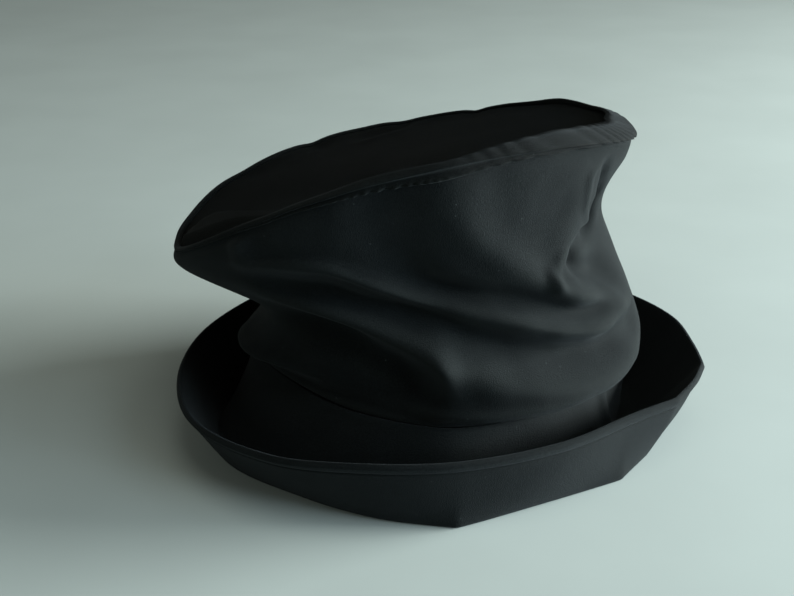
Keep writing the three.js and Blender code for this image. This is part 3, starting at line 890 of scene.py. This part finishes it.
@dataclass(frozen=True)
class BrushedCotton(Finish):
    """Black brushed cotton: short pile over a fine twill, a soft sheen, and a few specks of lint; its colour
    is lighter on ridges and darker in hollows, partly rubbed pile and partly painted light and shade.
    """

    name: str = "brushed cotton"
    ground_and_shade: Colour = (0.0026, 0.0038, 0.0043, 1.0)  # the cloth's own colour, and painted shade in hollows
    rubbed_and_lit: Colour = (0.0080, 0.0102, 0.0104, 1.0)  # lighter along ridges: rubbed pile, and painted light where ridges catch the light
    lint: Colour = (0.10, 0.115, 0.115, 1.0)
    lint_share: float = 0.4
    lint_cells: float = 300.0  # per metre
    lint_pick: tuple[float, float] = (0.94, 0.95)  # only cells drawn above it have a speck
    speck: tuple[float, float] = (0.05, 0.13)  # share of a cell over which a speck fades
    patch_scale: float = 38.0  # clouds per metre, and for pile and mottling
    pile_scale: float = 1500.0
    strands: tuple[float, float] = (4.0, 0.5)  # clouds per millimetre across and up
    rough: float = 0.86
    rough_by: float = 0.12  # how far the pile changes it
    rough_span: tuple[float, float] = (0.2, 0.9)  # of the pile
    sheen: float = 0.035
    sheen_tint: Colour = (0.80, 0.92, 1.0, 1.0)
    twill: float = 2.9  # ribs per millimetre
    rub_and_light_by: tuple[float, ...] = (0.45, 0.3, 0.7, 0.3)  # ridge, patches, mottle and pile; the ridge share paints light on ridges and shade in hollows
    rub_and_light_spans: tuple[tuple[float, float], ...] = ((-0.2, 1.0), (0.3, 0.75), (0.38, 0.66), (0.3, 0.8))
    rub_and_light_from: float = 0.3
    relief_by: tuple[float, ...] = (0.8, 0.1, 0.08, 0.15)  # pile, weave, strands and patches
    relief: tuple[float, float] = (0.55, 0.0008)  # strength, and depth in metres

    def shader(self, net: Net) -> bpy.types.Node:
        """Build the shader in a material's nodes."""
        here = net.place()
        patches = net.clouds(here, self.patch_scale, detail=4.0, rough=0.55)
        pile = net.clouds(here, self.pile_scale, detail=2.0, rough=0.7)
        strands = net.clouds(net.cloth(*self.strands), 1.0, detail=2.0)
        mottle = net.clouds(here, self.pile_scale, rough=0.75)
        # Painted light and shade: the ridge attribute makes the colour lighter where it is high and darker
        # where it is low, besides rubbed pile.
        ridge = Value(net, net.node("ShaderNodeAttribute", {"attribute_name": "ridge"}, {}).outputs["Fac"])
        parts = zip((ridge, patches, mottle, pile), self.rub_and_light_spans)
        rubs_and_light = [value.between(*span) for value, span in parts]
        rub_and_light = net.total(rubs_and_light, self.rub_and_light_by) - self.rub_and_light_from
        colour = net.blend(rub_and_light.between(0.0, 1.0), self.ground_and_shade, self.rubbed_and_lit)
        colour = net.blend(self.specks(net, here), colour, self.lint)
        height = net.total((pile, self.weave(net), strands, patches), self.relief_by)
        strength, depth = self.relief
        bump = net.node("ShaderNodeBump", {}, {"Strength": strength, "Distance": depth, "Height": height})
        rough = pile.between(*self.rough_span) * self.rough_by + (self.rough - self.rough_by / 2)
        return net.node("ShaderNodeBsdfPrincipled", {}, {
            "Base Color": colour, "Roughness": rough, "Specular IOR Level": 0.06,
            "Sheen Weight": self.sheen, "Sheen Roughness": 0.45, "Sheen Tint": self.sheen_tint,
            "Normal": bump.outputs[0]})

    def weave(self, net: Net) -> Value:
        """Slanting ribs of the twill, from zero to one."""
        settings = {"bands_direction": "DIAGONAL"}
        inputs = {"Vector": net.cloth(1.0, 1.0), "Scale": WAVES_PER_RIB * self.twill, "Distortion": 0.6}
        return Value(net, net.node("ShaderNodeTexWave", settings, inputs).outputs["Fac"])

    def specks(self, net: Net, here: Socket) -> Value:
        """Sparse specks of lint.

        Args:
            net: The material's nodes.
            here: Object coordinates.

        Returns:
            The share of lint, zero beside the specks.
        """
        cells = net.node("ShaderNodeTexVoronoi", {"feature": "F1"}, {"Vector": here, "Scale": self.lint_cells})
        near = 1.0 - Value(net, cells.outputs["Distance"]).between(*self.speck)
        pick = net.node("ShaderNodeSeparateColor", {}, {0: cells.outputs["Color"]})
        rare = Value(net, pick.outputs[0]).between(*self.lint_pick)
        return near * rare * self.lint_share


@dataclass(frozen=True)
class PaleTable(Finish):
    """Pale matt table top, with faint darker clouds."""

    name: str = "pale table"
    colour: Colour = (0.345, 0.395, 0.385, 1.0)
    shade: float = 0.94
    cloud_scale: float = 9.0  # per metre
    cloud_span: tuple[float, float] = (0.3, 0.7)

    def shader(self, net: Net) -> bpy.types.Node:
        """Build the shader in a material's nodes."""
        clouds = net.clouds(net.place(), self.cloud_scale)
        darker = tuple(self.shade * part for part in self.colour[:3]) + (1.0,)
        colour = net.blend(clouds.between(*self.cloud_span), darker, self.colour)
        return net.node("ShaderNodeBsdfPrincipled", {}, {"Base Color": colour, "Roughness": 0.7})


COTTON = BrushedCotton()
# A darker copy of the cotton for the tip: painted shade; its lighter colour paints the highlight on the turned
# corner.
SHADED_TIP_COTTON = BrushedCotton(
    name="brushed cotton, painted shade on the tip", ground_and_shade=(0.0007, 0.0011, 0.0010, 1.0),
    rubbed_and_lit=(0.0058, 0.0066, 0.0060, 1.0), sheen=0.015)
# A darker copy of the cotton for the welt: painted shade.
SHADED_WELT_COTTON = BrushedCotton(
    name="brushed cotton, painted shade on the welt", ground_and_shade=(0.0012, 0.0017, 0.0018, 1.0),
    rubbed_and_lit=(0.0074, 0.0092, 0.0090, 1.0))


def dress(piece: Piece, material: Material, slot: Slot, node: str) -> None:
    """Finish a piece and tie it to the frame.

    Args:
        piece: The piece.
        material: Its finish.
        slot: Its slot in the record.
        node: CAD node that it stands for.
    """
    piece.data.materials.append(material)
    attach(piece, "root")
    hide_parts(node)
    log.info("%s: %d faces, %s", piece.name, len(piece.data.polygons), slot.value)


@dataclass
class CrownSide:
    """Side wall of the crown: one flared band of cloth, slouched to the left and pinched at the right."""

    front_step: float = 0.52
    back_step: float = 2.2
    rows: int = 108
    flat: tuple[float, float] = (0.69, 0.165)
    flat_area: float = 0.078
    swells: tuple[Swell, ...] = ((0.55, 30.0, 3.7), (0.28, 13.0, 8.1))
    calm: float = 0.06  # share of the height, at either edge, without such swells
    tuck: tuple[float, float] = (1.1, 1.2)  # how far the foot is drawn in, over what height
    samples: int = 401  # heights at which the rows' spacing is worked out
    closer: float = 1.3  # how much closer rows lie among the folds
    folds_from: tuple[float, float] = (0.10, 0.10)  # height where that begins, and over what share
    folds_to: tuple[float, float] = (0.56, 0.12)  # and ends
    surroundings: int = 14  # columns and rows that a ridge is measured against

    def build(self) -> Piece:
        """Lay the band over the crown's form.

        Returns:
            The piece.
        """
        angles = compass(self.front_step, self.back_step)
        v = self.levels()
        degrees, heights = np.meshgrid(angles, v, indexing="ij")
        points, normals = CROWN.points(degrees, heights), CROWN.normals(degrees, heights)
        lively = sum(height * uneven(points, breadth, seed) for height, breadth, seed in self.swells)
        quiet = smooth_step(heights / self.calm) * smooth_step((1 - heights) / self.calm)
        depth, over = self.tuck
        tuck = depth * np.exp(-heights * CROWN_HEIGHT / over)
        points = points + normals * (lively * quiet - tuck)[..., None]
        points[-1] = points[0]
        # How far the cloth stands out; from it the colour is painted lighter on ridges and darker in hollows,
        # painted light and shade besides rubbed pile.
        ridge = standing_out(points, normals, self.surroundings)
        return drape("crown_side_cloth", round_the(CROWN_RADIUS, angles), v * CROWN_HEIGHT, points, ridge)

    def levels(self) -> Array:
        """Heights of the rows, closer together where the folds are."""
        even = np.linspace(0.0, 1.0, self.samples)
        begin = smooth_step((even - self.folds_from[0]) / self.folds_from[1])
        end = smooth_step((self.folds_to[0] - even) / self.folds_to[1])
        close = 1.0 + self.closer * begin * end
        passed = np.concatenate([[0.0], np.cumsum((close[1:] + close[:-1]) / 2)])
        return np.interp(np.linspace(0.0, 1.0, self.rows + 1), passed / passed[-1], even)

    def dress(self, piece: Piece, material: Material) -> None:
        """Wall, finish and frame of the band."""
        thicken(piece, CROWN_CLOTH)
        dress(piece, material, Slot.CROWN, "crown_side")


@dataclass
class CrownTip:
    """Round top panel, sewn in just below the edge and slack in the middle."""

    step: float = 1.5
    rings: int = 44
    crowding: float = 0.85  # below one, rings lie closer together near the edge
    flat: tuple[float, float] = (0.235, 0.215)
    flat_area: float = 0.0385
    flat_radius: float = 105.0
    below: float = 0.97  # height just under the edge, which gives its slope
    sink: float = 1.0  # below the edge
    sink_share: float = 1 / 12  # of the panel, over which it sinks
    sag: float = 3.0  # and further down in the middle
    seat: float = 0.2  # share of the panel that follows the edge's small waves
    evenings: int = 60  # how often the edge is evened for the rest of it
    swell: Swell = (0.5, 24.0, 5.5)
    calm: float = 0.08  # share of the panel, at its edge, without folds and swells
    corner: tuple[tuple[float, float, float], ...] = (  # across, near border and far border
        (-127, -24, -6), (-121, -18, 8), (-114, -12, 15), (-101, -8, 11), (-89, -12, 4), (-76, -14, -10))
    corner_soft: tuple[float, float] = (4.0, 5.0)  # along its near and its far border
    corner_rise: float = 5.5
    corner_ramp: tuple[float, float] = (-76.0, 46.0)  # where its lift starts, and over what length
    creases: tuple[Fold, ...] = (
        Fold("slack towards the near edge", (
            (-95, -35, 20, 0), (-60, -55, 22, -3), (0, -60, 22, -3), (60, -50, 20, 0))),
        Fold("wrinkle at the far edge", (
            (-4, 97, 3.5, 0), (-10, 93, 3.5, 1.2), (-22, 82, 3.5, 1.6), (-34, 76, 4, 1.4), (-46, 73, 5, 0))),
        Fold("dent beside the wrinkle", (
            (-8, 100, 5, 0), (-20, 90, 5, -1.4), (-36, 84, 6, -1.4), (-50, 82, 7, 0))),
    )

    def build(self) -> Piece:
        """Lay a disc inside the crown's edge.

        Returns:
            The piece.
        """
        angles = even_compass(self.step)
        shares = np.linspace(0.0, 1.0, self.rings + 1) ** self.crowding
        seat = self.seam_line(angles)
        calm = seat[:-1]
        for _ in range(self.evenings):
            calm = evened(calm)
        calm, middle = closed(calm), calm.mean(0)
        near_edge = smooth_step((shares - (1 - self.seat)) / self.seat)[None, :, None]
        points = middle + (calm[:, None] - middle) * shares[None, :, None]
        points += (seat - calm)[:, None] * near_edge
        height, breadth, seed = self.swell
        out, _ = FoldField(self.creases, (1.0, 1.0)).moves(points[..., 0], points[..., 1])
        out += height * uneven(points, breadth, seed)
        drop = self.sink * np.clip((1 - shares) / self.sink_share, 0, 1) + self.sag * (1 - shares ** 2)
        points[..., 2] += out * smooth_step((1 - shares) / self.calm) - drop
        corner = self.turned_and_lit_corner(points)
        start, length = self.corner_ramp
        points[..., 2] += corner * self.corner_rise * np.clip((start - points[..., 0]) / length, 0, 1)
        points[-1], corner[-1] = points[0], corner[0]
        # The corner's mask also paints its colour lighter: a painted highlight.
        return drape("crown_tip_cloth", angles, shares * self.flat_radius, points, corner)

    def seam_line(self, angles: Array) -> Array:
        """Where the disc is sewn in, just inside and below the crown's edge."""
        edge = CROWN.points(angles, np.ones_like(angles))
        up = unit(edge - CROWN.points(angles, np.full_like(angles, self.below)))
        return edge - CROWN.normals(angles, np.ones_like(angles)) * (CROWN_CLOTH + GAP) - up * GAP

    def turned_and_lit_corner(self, points: Array) -> Array:
        """Where the cloth lies double beside the left end; the colour there is painted lighter, a painted
        highlight on the facet that faces the light.

        Args:
            points: Places on the tip.

        Returns:
            One on the double cloth, zero elsewhere.
        """
        across, near, far = np.array(self.corner).T
        from_near = points[..., 1] - np.interp(points[..., 0], across, near)
        from_far = np.interp(points[..., 0], across, far) - points[..., 1]
        inside = smooth_step(from_near / self.corner_soft[0]) * smooth_step(from_far / self.corner_soft[1])
        return inside * (points[..., 0] > across[0]) * (points[..., 0] < across[-1])

    def dress(self, piece: Piece, material: Material, hem: Piece) -> None:
        """Wall, finish and frame of the disc.

        Args:
            piece: The disc.
            material: Its finish.
            hem: Welt round its edge, which is its own turned cloth; not used.
        """
        thicken(piece, TIP_CLOTH)
        dress(piece, material, Slot.CROWN, "crown_tip")


@dataclass
class TipWelt:
    """Band turned over the tip edge and stitched down, puckered between its stitches.

    Places across it are shares from its lower edge, 0, to the tip edge, 1.
    """

    step: float = 0.5
    face_rows: int = 15
    bead_length: float = 4.2  # from stitch to stitch
    bead_drift: tuple[tuple[float, float], ...] = ((0.5, 13.0), (0.3, 4.7))  # in beads, over what cloth
    bead_mean: float = 0.6  # their usual depth
    bead_vary: tuple[float, float, float] = (0.4, 9.0, 1.0)  # more or less deep, over what cloth, from where
    tuck_length: float = 11.0
    tuck_depth: float = 0.6
    tuck_drift: tuple[float, float] = (0.7, 13.0)  # in tucks, over what cloth
    tuck_slant: float = 0.5  # how far a tuck leans across the band, in tucks
    hollow: float = 0.2  # how much darker the tucks are painted, as painted shade in their folds
    lower: tuple[float, float] = (0.24, 0.20)  # ridge along the lower edge: its place and spread
    between: tuple[float, float] = (0.66, 0.20)  # hollow above it
    upper: tuple[float, float] = (1.0, 0.12)  # ridge at the tip edge
    start: float = 0.14  # share over which the lower edge rises
    ridges: float = 0.45  # share of the thickness that only the ridges have
    bead_cut: float = 0.85  # how deep beads, groove and tucks cut into it
    groove_cut: float = 0.9
    tuck_cut: float = 0.65
    least: float = 0.12  # share of the thickness that nothing cuts into
    over_tip: tuple[float, ...] = (1.0, 1.1, 1.4, 1.7)  # places across of the crest's first points
    flat_width: float = 24.0  # cloth round the cross-section

    def along(self, name: str, degrees: Array) -> Array:
        """Smooth value of a column of the welt's table."""
        values = column(WELT_ROWS, name)[:, None]
        return through(column(WELT_ROWS, "angle"), values, np.mod(degrees, FULL_TURN))[..., 0]

    def tuck(self, angles: Array, shares: Array) -> Array:
        """Depth of the slanting tucks across the band.

        Args:
            angles: Compass angles.
            shares: Places across the band, more than 1 over the tip.

        Returns:
            Grid of depths, as shares.
        """
        around = round_the(CROWN_RADIUS, angles)
        drift, over = self.tuck_drift
        wander = drift * np.sin(around / over)
        slant = around[:, None] / self.tuck_length + self.tuck_slant * shares[None, :] + wander[:, None]
        return pulse(slant) ** 2 * self.along("tucks", angles)[:, None]

    def bead(self, angles: Array) -> Array:
        """Depth of the puckers between stitches at compass angles, as a share."""
        around = round_the(CROWN_RADIUS, angles)
        beats = around / self.bead_length
        for drift, over in self.bead_drift:
            beats = beats + drift * np.sin(around / over)
        vary, over, start = self.bead_vary
        depth = self.bead_mean + vary * np.sin(around / over + start)
        return pulse(beats) * depth * self.along("beads", angles)

    def proud(self, angles: Array, shares: Array) -> Array:
        """How far the band's face stands out of the side wall.

        Args:
            angles: Compass angles.
            shares: Places across the band.

        Returns:
            Grid of distances, in millimetres.
        """
        lower, between, upper = (swell(shares, *ridge) for ridge in (self.lower, self.between, self.upper))
        shape = smooth_step(shares / self.start) * (1 - self.ridges + self.ridges * np.maximum(lower, upper))
        shape = shape[None, :] * (1 - self.bead_cut * self.bead(angles)[:, None] * lower[None, :])
        shape = shape * (1 - self.groove_cut * self.along("groove", angles)[:, None] * between[None, :])
        tucked = self.tuck(angles, shares) * np.maximum(lower, between)[None, :]
        shape = self.least + (1 - self.least) * shape * (1 - self.tuck_cut * tucked)
        return GAP + WELT_PROUD * self.along("plump", angles)[:, None] * shape

    def crest(self, angles: Array, edge: Array, out: Array, up: Array) -> list[Array]:
        """Cross-section over the tip edge, from the face inwards and back under it.

        Args:
            angles: Compass angles.
            edge: Points of the crown's edge.
            out: Unit vectors out of the side wall there.
            up: Unit vectors up the side wall there.

        Returns:
            Rows of points.
        """
        proud, inner, rise = (self.along(name, angles)[:, None] for name in ("plump", "inner", "rise"))
        rows = [edge + out * (row.out + row.proud * WELT_PROUD * proud - row.inner * inner)
                + up * (row.up + row.rise * rise) for row in CREST]
        for k, depth in enumerate(self.tuck(angles, np.array(self.over_tip)).T):
            rows[k] = rows[k] - up * depth[:, None] * self.tuck_depth
        return rows

    def build(self) -> Piece:
        """Run the band's cross-section round the tip edge.

        Returns:
            The piece.
        """
        angles = even_compass(self.step)
        low = self.along("v", angles)
        share = np.linspace(0.0, 1.0, self.face_rows)
        degrees, shares = np.meshgrid(angles, share, indexing="ij")
        levels = low[:, None] + (1.0 - low[:, None]) * shares
        face, away = CROWN.points(degrees, levels), CROWN.normals(degrees, levels)
        proud = self.proud(angles, share)
        front = [face[:, k] + away[:, k] * proud[:, k, None] for k in range(self.face_rows)]
        crest = self.crest(angles, face[:, -1], away[:, -1], unit(face[:, -1] - face[:, -3]))
        back = [face[:, k] + away[:, k] * GAP for k in (self.face_rows - 1, self.face_rows // 2, 0)]
        profile = np.stack([*front, *crest, *back, front[0]], 1)
        profile[-1] = profile[0]
        rows = np.linspace(0.0, self.flat_width, profile.shape[1])
        # Colour painted lighter at the front left where the beads are deep, partly rubbed beads and partly
        # painted light, and darker in the tucks at the right as painted shade.
        rubbed_and_lit = self.along("beads", angles) - self.hollow * self.along("tucks", angles)
        rubbed_and_lit = np.clip(rubbed_and_lit, -self.hollow, 1.0)
        ridge = np.repeat(rubbed_and_lit[:, None], len(rows), 1)
        return drape("tip_welt_cloth", round_the(CROWN_RADIUS, angles), rows, profile, ridge)

    def dress(self, piece: Piece, material: Material) -> None:
        """Finish and frame of the band."""
        dress(piece, material, Slot.CROWN, "tip_welt")


@dataclass
class Brim:
    """Two layers of cloth: stand, flat on the table and turned-up wall, the upper rolled over the rim.

    Depths are measured in from the brim's outside.
    """

    front_step: float = 0.75
    back_step: float = 2.4
    side_rows: tuple[int, int, int] = (18, 7, 22)  # of the stand, the flat and the wall
    soften: int = 3  # how often the corners of the cross-section are rounded
    least_step: float = 0.001  # between rows on the flat cloth
    face_end: float = 0.8  # below the rim, where the upper layer's roll begins
    foot_fade: float = 0.22  # share of the wall over which its foot passes into it
    ripple: Swell = (0.5, 26.0, 2.2)
    rim_roll: tuple[tuple[float, float], ...] = (  # depth, and distance below the rim
        (2.465, 0.15), (1.45, 0.0), (-0.15, 0.9), (-0.15, 2.0), (-0.15, 3.2), (0.05, RIM_ROLL))
    flat: tuple[float, float] = (0.36, 0.345)
    areas: tuple[float, float] = (0.068, 0.074)  # of the under and the upper cut
    folds: tuple[Fold, ...] = (
        Fold("crease in the stand at the right", (
            (330, 0.02, 3.5, 1.5), (326.5, 0.35, 3.5, 3), (325.5, 0.7, 4, 3), (328, 0.98, 5, 1))),
        Fold("hollow of the stand at the front", (
            (286, 0.55, 9, 0), (298, 0.62, 9, -3), (312, 0.62, 8, -3), (321, 0.6, 6, 0))),
    )

    def curve(self, degrees: Array, depth: float) -> tuple[Array, ...]:
        """Corners of the cross-section at compass angles.

        Args:
            degrees: Compass angles.
            depth: Depth of the skin.

        Returns:
            Stand head, heel, toe and rim.
        """
        away = outward(degrees)
        loops = [LOOPS.loop(name, degrees) for name in ("seam", "heel", "fold", "rim")]
        reach = [np.sum(loop * away, -1) for loop in loops]
        zero = np.zeros_like(reach[0])
        head = reach[0] - GAP - (2 * BRIM_LAYER + GAP)
        corners = [np.stack(pair, -1) for pair in (
            (head, zero + SEAM_HEIGHT - GAP), (reach[1], zero), (reach[2], zero),
            (reach[3], loops[3][..., 2]))]
        sides = []
        for start, end in zip(corners[:-1], corners[1:]):
            step = end - start
            sides.append(unit(np.stack([-step[..., 1], step[..., 0]], -1)))
        moved = [corners[0] + np.stack([depth / sides[0][..., 0], zero], -1)]
        for k in (1, 2):
            share = depth / (1 + np.sum(sides[k - 1] * sides[k], -1))
            moved.append(corners[k] + (sides[k - 1] + sides[k]) * share[..., None])
        moved.append(corners[3] + sides[2] * depth)
        placed = []
        for loop, along, flat in zip(loops, reach, moved):
            point = loop + away * (flat[..., 0] - along)[..., None]
            point[..., 2] = flat[..., 1]
            placed.append(point)
        return tuple(placed)

    def straight(self, degrees: Array, depth: float, short_by: float) -> Array:
        """Skin with straight sides, before it is folded, bowed and rounded.

        Args:
            degrees: Compass angles.
            depth: Depth of the skin.
            short_by: Distance from the skin's end to the rim.

        Returns:
            Grid of points, one row per compass angle.
        """
        head, heel, toe, rim = self.curve(degrees, depth)
        wall = rim - toe
        end = toe + wall * (1 - short_by / np.linalg.norm(wall, axis=-1))[:, None]
        parts = []
        for (start, stop), count in zip(((head, heel), (heel, toe), (toe, end)), self.side_rows):
            share = np.linspace(0.0, 1.0, count + 1)[:-1]
            parts.append(start[:, None] + (stop - start)[:, None] * share[None, :, None])
        return np.concatenate([*parts, end[:, None]], 1)

    def skin(self, degrees: Array, depth: float, short_by: float) -> Array:
        """One skin of cloth from the stand's head to near the rim.

        Args:
            degrees: Compass angles.
            depth: Depth of the skin.
            short_by: Distance from the skin's end to the rim.

        Returns:
            Grid of points, one row per compass angle.
        """
        points = self.straight(degrees, depth, short_by)
        stand, flat, side = self.side_rows
        place = np.arange(points.shape[1])
        foot = stand + flat
        near_table = np.where(place <= foot, np.clip((place - stand) / flat, 0, 1),
                              np.exp(-(place - foot) / (self.foot_fade * side)))
        crease = LOOPS.loop("crease", degrees) - LOOPS.loop("fold", degrees)
        points += crease[:, None] * near_table[None, :, None]
        shares = np.clip(place / stand, 0, 1)
        across, up = np.meshgrid(np.mod(degrees, FULL_TURN), shares, indexing="ij")
        out, _ = FoldField(self.folds, (round_the(STAND_RADIUS, 1.0), STAND_HEIGHT)).moves(across, up)
        on_stand = place < stand
        arch = np.sin(np.pi * np.clip((place - foot) / side, 0, 1))
        bow = LOOPS.value("bow", degrees)[:, None] * arch[None, :]
        away = outward(degrees)[:, None]
        points += away * (out * on_stand[None, :] + bow)[..., None]
        height, breadth, seed = self.ripple
        lively = np.where(on_stand, np.sin(np.pi * shares), arch)
        points += away * (height * uneven(points, breadth, seed) * lively[None, :])[..., None]
        for _ in range(self.soften):
            points[:, 1:-1] = (points[:, :-2] + 2 * points[:, 1:-1] + points[:, 2:]) / 4
        ring = points[:-1]
        return closed((np.roll(ring, 1, 0) + 4 * ring + np.roll(ring, -1, 0)) / 6)

    def layer(self, name: str, angles: Array, points: Array) -> Piece:
        """Piece of one layer.

        Args:
            name: Name of the piece.
            angles: Compass angles of its columns.
            points: Its cross-section at each of them, closed.

        Returns:
            The piece.
        """
        one_column = points[len(points) // 3]
        steps = np.linalg.norm(np.diff(one_column, axis=0), axis=1)
        rows = np.concatenate([[0.0], np.cumsum(np.maximum(steps, self.least_step))])
        return drape(name, round_the(BRIM_RADIUS, angles), rows, points)

    def build(self) -> tuple[Piece, Piece]:
        """Build both layers.

        Returns:
            The under layer, which stands on the table, and the upper one, rolled over the rim.
        """
        angles = compass(self.front_step, self.back_step)
        short_by = RIM_ROLL + GAP
        outside = self.skin(angles, 0.0, short_by)
        inside = self.skin(angles, BRIM_LAYER, short_by)
        under = np.concatenate([outside, inside[:, ::-1], outside[:, :1]], 1)
        face = self.skin(angles, 2 * BRIM_LAYER + GAP, self.face_end)
        back = self.skin(angles, BRIM_LAYER + GAP, RIM_ROLL)
        roll = [self.skin(angles, depth, drop)[:, -1:] for depth, drop in self.rim_roll]
        upper = np.concatenate([face, *roll, back[:, ::-1], face[:, :1]], 1)
        return self.layer("brim_under_cloth", angles, under), self.layer("brim_top_cloth", angles, upper)

    def dress(self, under: Piece, upper: Piece, material: Material) -> None:
        """Finish and frame of both layers.

        Args:
            under: The under layer.
            upper: The upper layer.
            material: Their finish.
        """
        layers = ((under, "brim_under", []), (upper, "brim_top", [under.name]))
        for (piece, node, beneath), area in zip(layers, self.areas):
            dress(piece, material, Slot.BRIM, node)


@dataclass(frozen=True)
class SoftLight:
    """Soft flat light: its place and size in metres, its power in watts, and its colour."""

    name: str
    at: Place
    size: tuple[float, float]
    power: float
    colour: tuple[float, float, float]

    def build(self, aim: Place) -> None:
        """Hang the light, turned towards a place."""
        lamp = bpy.data.lights.new(self.name, "AREA")
        lamp.shape = "RECTANGLE"
        lamp.size, lamp.size_y = self.size
        lamp.energy, lamp.color = self.power, self.colour
        holder = add_object(self.name, lamp)
        holder.location = self.at
        holder.rotation_euler = (Vector(aim) - Vector(self.at)).to_track_quat("-Z", "Y").to_euler()


@dataclass
class Studio:
    """Pale table, soft light from the right, and the camera. Places are in metres."""

    table_half: float = 4.0
    lights: tuple[SoftLight, ...] = (
        SoftLight("window_at_the_right", (1.96, 0.20, 0.42), (1.2, 0.36), 165.0, (0.94, 1.0, 0.97)),
        SoftLight("side_light_from_the_front_right", (1.8, -0.8, 0.42), (1.0, 0.36), 30.0, (0.74, 0.9, 1.0)),
        SoftLight("high_light_from_the_front_right", (1.45, -0.95, 1.0), (1.2, 0.6), 14.0, (0.74, 0.9, 1.0)),
        SoftLight("soft_light_overhead", (0.6, -0.8, 2.2), (1.6, 1.6), 14.0, (0.98, 1.0, 0.90)),
        SoftLight("faint_light_from_the_left", (-1.7, -1.0, 0.5), (1.4, 0.8), 7.0, (0.90, 1.0, 0.90)),
    )
    aim: Place = (0.0, 0.0, 0.06)
    sky_colour: Colour = (0.95, 0.93, 0.82, 1.0)
    sky_strength: float = 0.13
    camera_at: Place = (-0.021725, -0.642542, 0.320)
    pitch_down: float = 21.7
    focal_pixels: float = 1365.0
    frame_pixels: float = 794.0
    sensor: float = 36.0

    def table(self) -> None:
        """Lay a plain pale table top under the hat."""
        bm = bmesh.new()
        bmesh.ops.create_grid(bm, x_segments=4, y_segments=4, size=self.table_half)
        mesh = bpy.data.meshes.new("table_top")
        bm.to_mesh(mesh)
        bm.free()
        mesh.materials.append(PaleTable().material())
        add_object("table_top", mesh)

    def sky(self) -> None:
        """Fill the room with weak light from all round."""
        world = bpy.data.worlds.new("soft room")
        bpy.context.scene.world = world
        world.use_nodes = True
        background = world.node_tree.nodes["Background"]
        background.inputs["Color"].default_value = self.sky_colour
        background.inputs["Strength"].default_value = self.sky_strength

    def camera(self) -> None:
        """Set the camera at the photograph's place and angle."""
        camera = bpy.data.cameras.new("camera")
        camera.sensor_fit = "HORIZONTAL"
        camera.sensor_width = self.sensor
        camera.lens = self.focal_pixels / self.frame_pixels * self.sensor
        holder = add_object("camera", camera)
        holder.location = self.camera_at
        holder.rotation_euler = (math.radians(90.0 - self.pitch_down), 0.0, 0.0)
        bpy.context.scene.camera = holder

    def build(self) -> None:
        """Set up table, lights, sky and camera."""
        self.table()
        for light in self.lights:
            light.build(self.aim)
        self.sky()
        self.camera()
        bpy.context.scene.view_settings.view_transform = "Standard"


def main() -> None:
    """Build the hat and the studio."""
    logging.basicConfig(level=logging.INFO, format="%(message)s")
    Studio().build()
    # The tip and the welt take darker copies of the cotton: painted shade.
    cotton, shaded_tip_cotton, shaded_welt_cotton = (finish.material() for finish in (COTTON, SHADED_TIP_COTTON, SHADED_WELT_COTTON))
    brim, side, tip, welt = Brim(), CrownSide(), CrownTip(), TipWelt()
    under, upper = brim.build()
    side_piece, tip_piece, welt_piece = side.build(), tip.build(), welt.build()
    brim.dress(under, upper, cotton)
    side.dress(side_piece, cotton)
    tip.dress(tip_piece, shaded_tip_cotton, welt_piece)
    welt.dress(welt_piece, shaded_welt_cotton)


if __name__ == "__main__":
    main()
